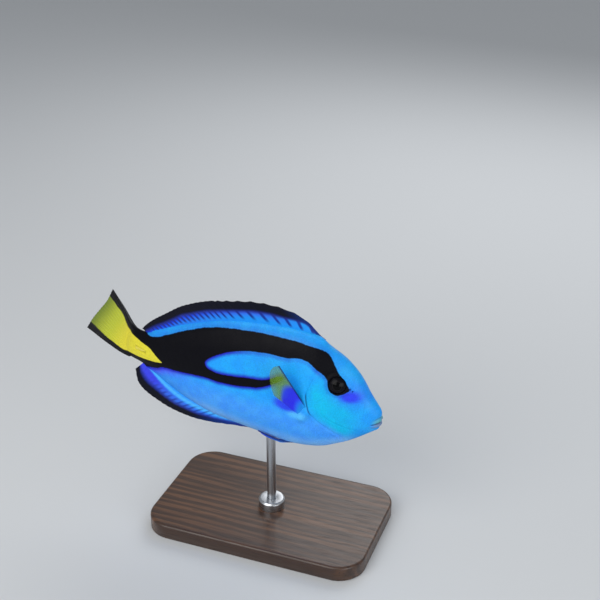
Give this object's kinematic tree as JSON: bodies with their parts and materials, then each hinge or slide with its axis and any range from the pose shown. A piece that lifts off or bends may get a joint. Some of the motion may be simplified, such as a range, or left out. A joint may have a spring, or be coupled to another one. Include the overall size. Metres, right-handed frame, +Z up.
{
  "type": "regal blue tang",
  "caption": "Life-size still model of a swimming regal blue tang, head slightly down and tail turned aside, held by one rod on a flat base.",
  "frame": {"origin": "middle of the underside of the stand's base", "axes": "+X towards the fish's head, +Z up, the fish's right flank faces -Y and its tail turns to +Y"},
  "size_m": [0.1954, 0.078, 0.1387],
  "materials": {
    "skin": "satin, wet-looking fish skin with fine scales, bright blue with black bands and a yellow tail wedge",
    "blue_fin": "satin rayed membrane, blue with a black edge",
    "yellow_fin": "satin rayed membrane, yellow with black upper and lower edges",
    "pectoral": "thin rayed membrane, violet-blue at the root and yellow-green at the tip",
    "eye": "polished, dark iris and pupil under a clear cornea",
    "spine": "smooth, bone-like",
    "base": "dark wood, satin varnish",
    "rod": "brushed"
  },
  "bodies": {
    "root": {"head": "skin", "torso": "skin", "tail_stalk": "skin", "dorsal_fin": "blue_fin", "anal_fin": "blue_fin", "caudal_fin": "yellow_fin", "pectoral_fin_left": "pectoral", "pectoral_fin_right": "pectoral", "pelvic_fin_left": "blue_fin", "pelvic_fin_right": "blue_fin", "eye_left": "eye", "eye_right": "eye", "tail_spine_left": "spine", "tail_spine_right": "spine", "stand_base": "base", "stand_collar": "rod", "stand_rod": "rod"}
  },
  "joints": []
}
